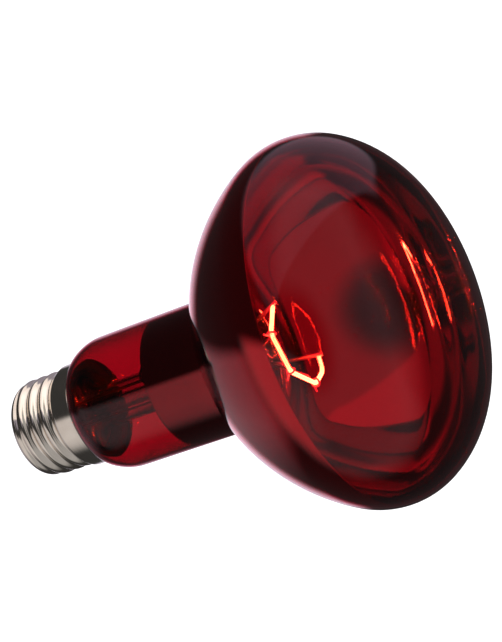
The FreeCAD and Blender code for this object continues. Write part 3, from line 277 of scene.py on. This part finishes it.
def ruby_glass():
    """Soda-lime glass coloured with selenium, blown: dark red in depth, faintly wavy."""
    material, tree, shader = new_material("selenium_ruby_glass")
    # where it is looked at squarely, the glass mirrors less than it does along its edges
    set_shader(
        shader, Roughness=0.0, IOR=1.49, Transmission_Weight=1.0, Specular_Tint=(0.6, 0.6, 0.6, 1),
    )
    place = add(tree, "ShaderNodeTexCoord")
    # the glass is thicker in the neck than at the window
    height = add(tree, "ShaderNodeSeparateXYZ", Vector=place.outputs["Object"])
    share = add(
        tree, "ShaderNodeMapRange", {"From Max": BULB_HEIGHT * MM}, Value=height.outputs["Z"],
    )
    tone = add(tree, "ShaderNodeValToRGB", Fac=share.outputs["Result"])
    for stop, (level, colour) in zip(tone.color_ramp.elements, GLASS_TONES):
        stop.position = level / BULB_HEIGHT
        stop.color = (*colour, 1.0)
    tree.links.new(tone.outputs["Color"], shader.inputs["Base Color"])
    # blowing leaves ripples some 25 mm apart, too shallow to see except in reflections
    ripple = add(
        tree, "ShaderNodeTexNoise", {"Scale": 40.0, "Detail": 1.0}, Vector=place.outputs["Object"],
    )
    bump = add(
        tree, "ShaderNodeBump", {"Strength": 0.05, "Distance": 0.0006}, Height=ripple.outputs["Fac"],
    )
    tree.links.new(bump.outputs["Normal"], shader.inputs["Normal"])
    return material


def mirror_film():
    """Aluminium vapour-coated on glass: a bright mirror with a slight haze."""
    material, tree, shader = new_material("vapour_coated_aluminium")
    set_shader(shader, Base_Color=linear("#E2E0DE"), Metallic=1.0)
    place = add(tree, "ShaderNodeTexCoord")
    # the coat is uneven in patches some 8 mm wide
    haze = add(
        tree, "ShaderNodeTexNoise", {"Scale": 130.0, "Detail": 3.0}, Vector=place.outputs["Object"],
    )
    spread = add(
        tree, "ShaderNodeMapRange", {"To Min": 0.03, "To Max": 0.08}, Value=haze.outputs["Fac"],
    )
    tree.links.new(spread.outputs["Result"], shader.inputs["Roughness"])
    return material


def nickel_plate():
    """Brass sheet, rolled and nickel-plated: warm bright metal with fine drawing marks."""
    material, tree, shader = new_material("nickel_plated_brass")
    set_shader(shader, Metallic=1.0)
    place = add(tree, "ShaderNodeTexCoord")
    # the marks run round the cap, some 0.7 mm apart, drawn as coarse as they need to show
    stretch = add(
        tree, "ShaderNodeMapping", {"Scale": (60, 60, 1400)}, Vector=place.outputs["Object"],
    )
    marks = add(tree, "ShaderNodeTexNoise", {"Scale": 1.0, "Detail": 3.0}, Vector=stretch.outputs[0])
    # handling leaves duller patches some 6 mm wide
    cloud = add(
        tree, "ShaderNodeTexNoise", {"Scale": 160.0, "Detail": 4.0}, Vector=place.outputs["Object"],
    )
    tone = add(
        tree, "ShaderNodeMix",
        {"data_type": "RGBA", 6: linear("#F2EAE0"), 7: linear("#D6CABE")}, _0=cloud.outputs["Fac"],
    )
    tree.links.new(tone.outputs[2], shader.inputs["Base Color"])
    rough = add(
        tree, "ShaderNodeMapRange", {"To Min": 0.08, "To Max": 0.18}, Value=cloud.outputs["Fac"],
    )
    tree.links.new(rough.outputs["Result"], shader.inputs["Roughness"])
    bump = add(
        tree, "ShaderNodeBump", {"Strength": 0.12, "Distance": 0.00005}, Height=marks.outputs["Fac"],
    )
    tree.links.new(bump.outputs["Normal"], shader.inputs["Normal"])
    return material


def worn_metal(name, pale, dark, roughness, grain, glow=0.0):
    """A wire, solder or brass surface: two close tones and an uneven sheen.

    The grain is how many patches fall on a metre. With a glow, the metal shines with a painted red
    glow, an emission, where it comes near the filament's height.
    """
    material, tree, shader = new_material(name)
    set_shader(shader, Metallic=1.0)
    place = add(tree, "ShaderNodeTexCoord")
    cloud = add(
        tree, "ShaderNodeTexNoise", {"Scale": grain, "Detail": 4.0}, Vector=place.outputs["Object"],
    )
    tone = add(
        tree, "ShaderNodeMix",
        {"data_type": "RGBA", 6: linear(pale), 7: linear(dark)}, _0=cloud.outputs["Fac"],
    )
    tree.links.new(tone.outputs[2], shader.inputs["Base Color"])
    rough = add(
        tree, "ShaderNodeMapRange", {"To Min": roughness * 0.7, "To Max": roughness * 1.4},
        Value=cloud.outputs["Fac"],
    )
    tree.links.new(rough.outputs["Result"], shader.inputs["Roughness"])
    bump = add(
        tree, "ShaderNodeBump", {"Strength": 0.2, "Distance": 0.0001}, Height=cloud.outputs["Fac"],
    )
    tree.links.new(bump.outputs["Normal"], shader.inputs["Normal"])
    # painted glow: red emission on the wire, rising to full strength at the filament's height
    if glow:
        height = add(tree, "ShaderNodeSeparateXYZ", Vector=place.outputs["Object"])
        painted_glow_start = (FILAMENT_HEIGHT - GLOW_REACH) * MM
        heat_and_painted_glow = add(
            tree, "ShaderNodeMapRange",
            {"From Min": painted_glow_start, "From Max": FILAMENT_HEIGHT * MM, "To Max": glow},
            Value=height.outputs["Z"],
        )
        tree.links.new(heat_and_painted_glow.outputs["Result"], shader.inputs["Emission Strength"])
        set_shader(shader, Emission_Color=(1.0, 0.2, 0.12, 1))
    return material


def clear_glass():
    """Lead glass of the stem: clear, with a faint green cast and fire-polished ripples."""
    material, tree, shader = new_material("clear_stem_glass")
    set_shader(
        shader, Base_Color=linear("#EEF3EF"), Roughness=0.02, IOR=1.55, Transmission_Weight=1.0,
    )
    place = add(tree, "ShaderNodeTexCoord")
    ripple = add(
        tree, "ShaderNodeTexNoise", {"Scale": 220.0, "Detail": 2.0}, Vector=place.outputs["Object"],
    )
    bump = add(
        tree, "ShaderNodeBump", {"Strength": 0.15, "Distance": 0.0004}, Height=ripple.outputs["Fac"],
    )
    tree.links.new(bump.outputs["Normal"], shader.inputs["Normal"])
    return material


def glowing_tungsten():
    """Drawn tungsten wire at full heat: an even yellow glow, a little hotter in patches."""
    material, tree, shader = new_material("glowing_tungsten")
    set_shader(
        shader, Base_Color=linear("#5A5048"), Metallic=1.0, Roughness=0.5, Emission_Strength=90.0,
    )
    place = add(tree, "ShaderNodeTexCoord")
    heat_and_painted_glow = add(
        tree, "ShaderNodeTexNoise", {"Scale": 300.0, "Detail": 2.0}, Vector=place.outputs["Object"],
    )
    glow = add(
        tree, "ShaderNodeMix",
        {"data_type": "RGBA", 6: (1.0, 0.62, 0.1, 1), 7: (1.0, 0.5, 0.07, 1)}, _0=heat_and_painted_glow.outputs["Fac"],
    )
    tree.links.new(glow.outputs[2], shader.inputs["Emission Color"])
    return material


def black_glass():
    """Opaque black glass, pressed hot into the cap: glossy, with small pits."""
    material, tree, shader = new_material("black_cap_glass")
    set_shader(shader, Base_Color=linear("#121014"), IOR=1.52)
    place = add(tree, "ShaderNodeTexCoord")
    pits = add(
        tree, "ShaderNodeTexNoise", {"Scale": 500.0, "Detail": 4.0}, Vector=place.outputs["Object"],
    )
    rough = add(tree, "ShaderNodeMapRange", {"To Min": 0.12, "To Max": 0.35}, Value=pits.outputs["Fac"])
    tree.links.new(rough.outputs["Result"], shader.inputs["Roughness"])
    bump = add(
        tree, "ShaderNodeBump", {"Strength": 0.25, "Distance": 0.0002}, Height=pits.outputs["Fac"],
    )
    tree.links.new(bump.outputs["Normal"], shader.inputs["Normal"])
    return material


def basing_cement():
    """Phenolic basing cement, baked: matt, grainy and cream-coloured."""
    material, tree, shader = new_material("baked_basing_cement")
    set_shader(shader, Roughness=0.85)
    place = add(tree, "ShaderNodeTexCoord")
    grit = add(
        tree, "ShaderNodeTexNoise", {"Scale": 900.0, "Detail": 5.0}, Vector=place.outputs["Object"],
    )
    tone = add(
        tree, "ShaderNodeMix",
        {"data_type": "RGBA", 6: linear("#CFC3AC"), 7: linear("#A89A82")}, _0=grit.outputs["Fac"],
    )
    tree.links.new(tone.outputs[2], shader.inputs["Base Color"])
    bump = add(tree, "ShaderNodeBump", {"Strength": 0.5, "Distance": 0.0002}, Height=grit.outputs["Fac"])
    tree.links.new(bump.outputs["Normal"], shader.inputs["Normal"])
    return material


# The bulb's outline, from the same named values as the CAD

def meet(centre_a, reach_a, centre_b, reach_b):
    """The outer of the two points at given distances from two centres."""
    apart = centre_b - centre_a
    along = (reach_a**2 - reach_b**2 + apart.length**2) / (2 * apart.length)
    aside = math.sqrt(reach_a**2 - along**2)
    unit = apart.normalized()
    left = Vector((-unit.y, unit.x))
    found = (centre_a + unit * along + left * aside, centre_a + unit * along - left * aside)
    return max(found, key=lambda point: point.x)


def slope_between(inner, outer):
    """Slope at which an outline passes from a curve to the next, whose centres are given."""
    away = outer - inner
    return math.degrees(math.atan2(away.x, -away.y)) % 360


def bulb_outline(inset):
    """Points of the bulb's outline from its sealed end to the window, moved in by inset."""
    across, up = outward(NECK_CURVE_ANGLE)
    spread = NECK_CURVE_RADIUS - NECK_BASE_RADIUS
    neck_foot = CAP_HEIGHT + RIM_GAP
    base = Vector((NECK_RADIUS - NECK_CURVE_RADIUS + spread * across, neck_foot + NECK_BASE_RADIUS))
    neck_curve = base - Vector((across, up)) * spread
    fillet = Vector((base.x, base.y - NECK_BASE_RADIUS - SEAL_FILLET))
    rim = Vector((BULB_RADIUS - RIM_RADIUS, WIDEST_HEIGHT))
    edge = rim - outward(RIM_HIGH_ANGLE) * (WINDOW_EDGE_RADIUS - RIM_RADIUS)
    flank = rim - outward(RIM_LOW_ANGLE) * (REFLECTOR_RADIUS - RIM_RADIUS)
    rise = BULB_HEIGHT - edge.y
    crown_radius = (edge.x**2 + rise**2 - WINDOW_EDGE_RADIUS**2) / (2 * rise - 2 * WINDOW_EDGE_RADIUS)
    crown = Vector((0, BULB_HEIGHT - crown_radius))
    crease = Vector((NECK_RADIUS + CREASE_RADIUS, CREASE_HEIGHT))
    shoulder = meet(flank, REFLECTOR_RADIUS - SHOULDER_RADIUS, crease, CREASE_RADIUS + SHOULDER_RADIUS)
    crown_slope = slope_between(crown, edge)
    shoulder_slope = slope_between(flank, shoulder)
    crease_slope = slope_between(shoulder, crease)
    curves = (
        (fillet, SEAL_FILLET + inset, 90, 0, -1),
        (base, NECK_BASE_RADIUS - inset, 0, NECK_CURVE_ANGLE, 1),
        (neck_curve, NECK_CURVE_RADIUS - inset, NECK_CURVE_ANGLE, 90, 1),
        (crease, CREASE_RADIUS + inset, 90, crease_slope, -1),
        (shoulder, SHOULDER_RADIUS - inset, crease_slope, shoulder_slope, 1),
        (flank, REFLECTOR_RADIUS - inset, shoulder_slope, RIM_LOW_ANGLE, 1),
        (rim, RIM_RADIUS - inset, RIM_LOW_ANGLE, RIM_HIGH_ANGLE, 1),
        (edge, WINDOW_EDGE_RADIUS - inset, RIM_HIGH_ANGLE, crown_slope, 1),
        (crown, crown_radius - inset, crown_slope, 180, 1),
    )
    points = [Vector((base.x - SEAL_FILLET - inset, SEAL_HEIGHT))]
    for centre, radius, low, high, side in curves:
        step = FINE_STEP if radius < SMALL_CURVE else OUTLINE_STEP
        if centre is crease:
            # the long straight neck gets rows of its own
            start = points[-1]
            top = Vector((start.x, crease.y))
            points += [start.lerp(top, part / NECK_ROWS) for part in range(1, NECK_ROWS)]
        found = curve_points(centre, radius, low, high, side, step)
        points += found if (found[0] - points[-1]).length > SHORTEST_EDGE else found[1:]
    points[-1].x = 0.0
    return points


def make_bulb(material):
    """The blown bulb with its real wall, closed where it is sealed to the stem."""
    outside = bulb_outline(0.0)
    inside = bulb_outline(GLASS_WALL)
    mesh = spin_outline(outside, BULB_STEPS)
    hollow = spin_outline(inside, BULB_STEPS)
    bmesh.ops.reverse_faces(hollow, faces=hollow.faces)
    data = bpy.data.meshes.new("hollow")
    hollow.to_mesh(data)
    hollow.free()
    mesh.from_mesh(data)
    bpy.data.meshes.remove(data)
    rims = [edge for edge in mesh.edges if edge.is_boundary]
    bmesh.ops.bridge_loops(mesh, edges=rims)
    return finish_piece("ruby_bulb", mesh, material, "glass_envelope")


def make_film(material):
    """The mirror film, lying on the inside of the glass from the neck to the widest place."""
    inside = bulb_outline(GLASS_WALL + FILM_INSET)
    coated = [point for point in inside if FILM_LOW <= point.y <= FILM_TOP]
    coated.insert(0, Vector((coated[0].x, FILM_LOW)))
    whole = coated[-1].y - FILM_EVEN
    mesh = spin_outline(coated, BULB_STEPS)
    # the coat reaches higher on one side, where the vapour met the glass more squarely
    for vertex in mesh.verts:
        height = vertex.co.z / MM
        if height <= FILM_EVEN:
            continue
        angle = math.atan2(vertex.co.y, vertex.co.x)
        top = FILM_HIGH + ease(math.sin(angle) + FILM_LEAN) * (FILM_TOP - FILM_HIGH)
        height = FILM_EVEN + (height - FILM_EVEN) * (top - FILM_EVEN) / whole
        below, above = next(pair for pair in zip(inside, inside[1:]) if pair[1].y >= height > pair[0].y)
        radius = below.lerp(above, (height - below.y) / (above.y - below.y)).x
        vertex.co = Vector((math.cos(angle) * radius, math.sin(angle) * radius, height)) * MM
    bmesh.ops.solidify(mesh, geom=mesh.faces, thickness=FILM_THICKNESS * MM)
    film = finish_piece("mirror_film", mesh, material)
    return film


# The cap

def thread_radius(height, angle):
    """Radius of the rolled thread: equal round crests and roots on a right-handed helix."""
    rise = THREAD_DEPTH / 2
    roundness = ((THREAD_PITCH / 4) ** 2 + rise**2) / (2 * rise)
    turns = height / THREAD_PITCH - angle / (2 * math.pi) - THREAD_PHASE
    from_crest = abs(turns - round(turns)) * THREAD_PITCH
    if from_crest < THREAD_PITCH / 4:
        return THREAD_RADIUS - roundness + math.sqrt(roundness**2 - from_crest**2)
    from_root = THREAD_PITCH / 2 - from_crest
    return THREAD_RADIUS - THREAD_DEPTH + roundness - math.sqrt(roundness**2 - from_root**2)


def make_cap(material):
    """The rolled sheet: lip, corner, thread that runs out at both ends, step and collar."""
    middle = THREAD_RADIUS - THREAD_DEPTH / 2
    corner = Vector((LIP_RADIUS - LIP_CORNER, LIP_HEIGHT + LIP_CORNER))
    outline = [Vector((LIP_HOLE, LIP_HEIGHT))]
    outline += curve_points(corner, LIP_CORNER, 0, 90, 1, LIP_STEP)
    top = CAP_HEIGHT - RIM_ROLL
    count = round((top - corner.y) / CAP_ROW)
    outline += [
        Vector((middle, corner.y + (top - corner.y) * part / count)) for part in range(1, count + 1)
    ]
    mesh = spin_outline(outline, CAP_STEPS)
    for vertex in mesh.verts:
        height = vertex.co.z / MM
        if height < corner.y - SHORTEST_EDGE:
            continue
        angle = math.atan2(vertex.co.y, vertex.co.x)
        depth = ease((height - corner.y) / THREAD_RUN_IN)
        radius = middle + depth * (thread_radius(height, angle) - middle)
        collar = ease((height - STEP_START) / (COLLAR_START - STEP_START))
        radius += collar * (COLLAR_RADIUS - radius)
        vertex.co.x = math.cos(angle) * radius * MM
        vertex.co.y = math.sin(angle) * radius * MM
    bmesh.ops.solidify(mesh, geom=mesh.faces, thickness=SHEET * MM)
    return finish_piece("screw_cap", mesh, material, "cap_shell")


# The filament

def filament_path():
    """Points along the middle of the coil, with rounded corners at the supports."""
    corners = []
    for turn, reach in FILAMENT_CORNERS:
        angle = math.radians(MIDDLE_ANGLE + turn)
        corners.append(Vector((math.cos(angle), math.sin(angle), 0)) * reach)
    corners[0] += (corners[1] - corners[0]).normalized() * LEAD_CLEARANCE
    corners[-1] += (corners[-2] - corners[-1]).normalized() * LEAD_CLEARANCE
    points = [corners[0]]
    for before, corner, after in zip(corners, corners[1:], corners[2:]):
        incoming = (corner - before).normalized()
        leaving = (after - corner).normalized()
        turn = incoming.angle(leaving)
        start = corner - incoming * (COIL_BEND * math.tan(turn / 2))
        centre = start + Vector((-incoming.y, incoming.x, 0)) * COIL_BEND
        for part in range(POINTS_IN_A_BEND + 1):
            bend = Matrix.Rotation(turn * part / POINTS_IN_A_BEND, 3, "Z")
            points.append(centre + bend @ (start - centre))
    points.append(corners[-1])
    return points


def make_filament(material):
    """The coiled wire, wound turn by turn along the filament's path."""
    points = filament_path()
    lengths = [(b - a).length for a, b in zip(points, points[1:])]
    whole = sum(lengths)
    count = int(whole / COIL_PITCH * POINTS_IN_A_TURN)
    curve = bpy.data.curves.new("filament_coil", "CURVE")
    curve.dimensions = "3D"
    curve.bevel_depth = COIL_WIRE * MM
    curve.bevel_resolution = 1
    curve.use_fill_caps = True
    spline = curve.splines.new("POLY")
    spline.points.add(count)
    last = whole - ROUNDING
    piece = 0
    passed = 0.0
    for number in range(count + 1):
        distance = min(whole * number / count, last)
        while distance > passed + lengths[piece]:
            passed += lengths[piece]
            piece += 1
        share = (distance - passed) / lengths[piece]
        along = (points[piece + 1] - points[piece]).normalized()
        centre = points[piece].lerp(points[piece + 1], share) + Vector((0, 0, FILAMENT_HEIGHT))
        turn = 2 * math.pi * distance / COIL_PITCH
        aside = Vector((along.y, -along.x, 0))
        place = centre + (aside * math.cos(turn) + Vector((0, 0, 1)) * math.sin(turn)) * COIL_RADIUS
        spline.points[number].co = (*(place * MM), 1)
    coil = bpy.data.objects.new("filament_coil", curve)
    curve.materials.append(material)
    bpy.context.collection.objects.link(coil)
    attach(coil, "root")
    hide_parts("filament")
    return coil


def dress(material, *names):
    """Give CAD nodes their finished material."""
    for name in names:
        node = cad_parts[name]
        node.data.materials.clear()
        node.data.materials.append(material)


# Camera, surroundings and light

def make_camera():
    """The camera at the photograph's place, with the picture's axes as its own."""
    data = bpy.data.cameras.new("camera")
    data.lens = LENS
    data.sensor_width = SENSOR
    data.clip_start = NEAREST * MM
    camera = bpy.data.objects.new("camera", data)
    turn = Matrix((IMAGE_RIGHT, IMAGE_UP, -LOOK)).transposed()
    camera.matrix_world = Matrix.Translation(CAMERA_PLACE) @ turn.to_4x4()
    bpy.context.collection.objects.link(camera)
    bpy.context.scene.camera = camera


def make_surroundings():
    """White to the camera; to glass and metal, a studio with black flags and pale softboxes."""
    world = bpy.data.worlds.new("studio")
    bpy.context.scene.world = world
    world.use_nodes = True
    tree = world.node_tree
    place = add(tree, "ShaderNodeTexCoord")
    whole = add(tree, "ShaderNodeCombineXYZ", {"X": FLAG, "Y": FLAG, "Z": FLAG}).outputs[0]
    for strength, colour, edges in PATCHES:
        share = None
        for way, outside, inside in edges:
            axis = IMAGE_RIGHT * way[0] + IMAGE_UP * way[1] + LOOK * way[2]
            lean = add(
                tree, "ShaderNodeVectorMath", {"operation": "DOT_PRODUCT", 1: axis},
                _0=place.outputs["Generated"],
            )
            edge = add(
                tree, "ShaderNodeMapRange",
                {"interpolation_type": "SMOOTHSTEP", "From Min": outside, "From Max": inside},
                Value=lean.outputs["Value"],
            ).outputs["Result"]
            if share is not None:
                edge = add(tree, "ShaderNodeMath", {"operation": "MULTIPLY"}, _0=share, _1=edge).outputs[0]
            share = edge
        level = [part * strength for part in linear(colour)[:3]]
        glow = add(tree, "ShaderNodeVectorMath", {"operation": "SCALE", 0: level}, Scale=share)
        whole = add(
            tree, "ShaderNodeVectorMath", {"operation": "ADD"}, _0=whole, _1=glow.outputs[0],
        ).outputs[0]
    path = add(tree, "ShaderNodeLightPath")
    seen = add(
        tree, "ShaderNodeMix", {"data_type": "RGBA", 7: (1, 1, 1, 1)}, _0=path.outputs["Is Camera Ray"],
    )
    tree.links.new(whole, seen.inputs[6])
    tree.links.new(seen.outputs[2], tree.nodes["Background"].inputs["Color"])


def make_floor():
    """A pale floor, white to the camera, that neither glass nor metal shows."""
    mesh = bmesh.new()
    bmesh.ops.create_grid(mesh, x_segments=1, y_segments=1, size=FLOOR_SIZE * MM)
    bmesh.ops.translate(mesh, verts=mesh.verts, vec=(0, 0, -FLOOR_DROP * MM))
    data = bpy.data.meshes.new("floor")
    mesh.to_mesh(data)
    mesh.free()
    floor = bpy.data.objects.new("floor", data)
    bpy.context.collection.objects.link(floor)
    floor.visible_glossy = False
    floor.visible_transmission = False
    material, tree, shader = new_material("pale_floor")
    set_shader(shader, Base_Color=(0.9, 0.9, 0.9, 1), Roughness=0.9)
    path = add(tree, "ShaderNodeLightPath")
    set_shader(shader, Emission_Color=(1, 1, 1, 1))
    tree.links.new(path.outputs["Is Camera Ray"], shader.inputs["Emission Strength"])
    data.materials.append(material)


def make_cap_light(cap):
    """A softbox that is flagged off the glass, so that only the cap is lit by it."""
    data = bpy.data.lights.new("cap_softbox", "AREA")
    data.shape = "RECTANGLE"
    data.size = CAP_LIGHT_SIZE[0] * MM
    data.size_y = CAP_LIGHT_SIZE[1] * MM
    data.energy = CAP_LIGHT_POWER
    data.color = linear("#FFF6E8")[:3]
    lamp = bpy.data.objects.new("cap_softbox", data)
    lamp.location = CAP_LIGHT_PLACE * MM
    lamp.rotation_mode = "QUATERNION"
    target = Vector((0, 0, CAP_LIGHT_AIM)) * MM
    lamp.rotation_quaternion = (target - lamp.location).to_track_quat("-Z", "Y")
    lamp.visible_camera = False
    lamp.visible_transmission = False
    bpy.context.collection.objects.link(lamp)
    lit = bpy.data.collections.new("lit_by_cap_softbox")
    lit.objects.link(cap)
    lamp.light_linking.receiver_collection = lit


def main():
    nickel = nickel_plate()
    make_camera()
    make_surroundings()
    make_floor()
    make_bulb(ruby_glass())
    make_film(mirror_film())
    make_cap_light(make_cap(nickel))
    make_filament(glowing_tungsten())
    dress(clear_glass(), "stem_flare", "exhaust_tube", "support_rod")
    # drawn nickel, satin and warm grey, with a dull red painted glow near the filament
    dress(
        worn_metal("nickel_wire", "#B9AFA4", "#8E857C", 0.3, 700.0, 1.2),
        "upper_lead_a", "upper_lead_b",
    )
    # drawn molybdenum, darker than nickel, with a bright red painted glow round the filament
    dress(
        worn_metal("molybdenum_wire", "#8F8A88", "#6E6866", 0.35, 900.0, 2.5),
        "filament_support_1", "filament_support_2", "filament_support_3",
    )
    # iron wire clad with copper, browned where the glass was melted on it
    dress(
        worn_metal("copper_clad_wire", "#B8704E", "#7E4630", 0.35, 900.0),
        "seal_wire_a", "seal_wire_b",
    )
    # soft copper wire, satin and a little tarnished
    dress(
        worn_metal("copper_wire", "#C0764F", "#8E5238", 0.3, 700.0),
        "lower_lead_centre", "lower_lead_side",
    )
    dress(black_glass(), "cap_insulator")
    # brass spun from sheet, yellow, with the sheen of the tool
    dress(worn_metal("spun_brass", "#C9A45E", "#A8803F", 0.28, 400.0), "centre_contact")
    # tin-lead solder, set from a melt: silvery, clouded grey
    dress(
        worn_metal("tin_lead_solder", "#B9B6B2", "#8D8A88", 0.32, 600.0),
        "contact_solder", "side_solder",
    )
    dress(basing_cement(), "basing_cement")
    bpy.context.scene.view_settings.view_transform = "Standard"
    bpy.context.scene.cycles.sample_clamp_indirect = BRIGHTEST


main()
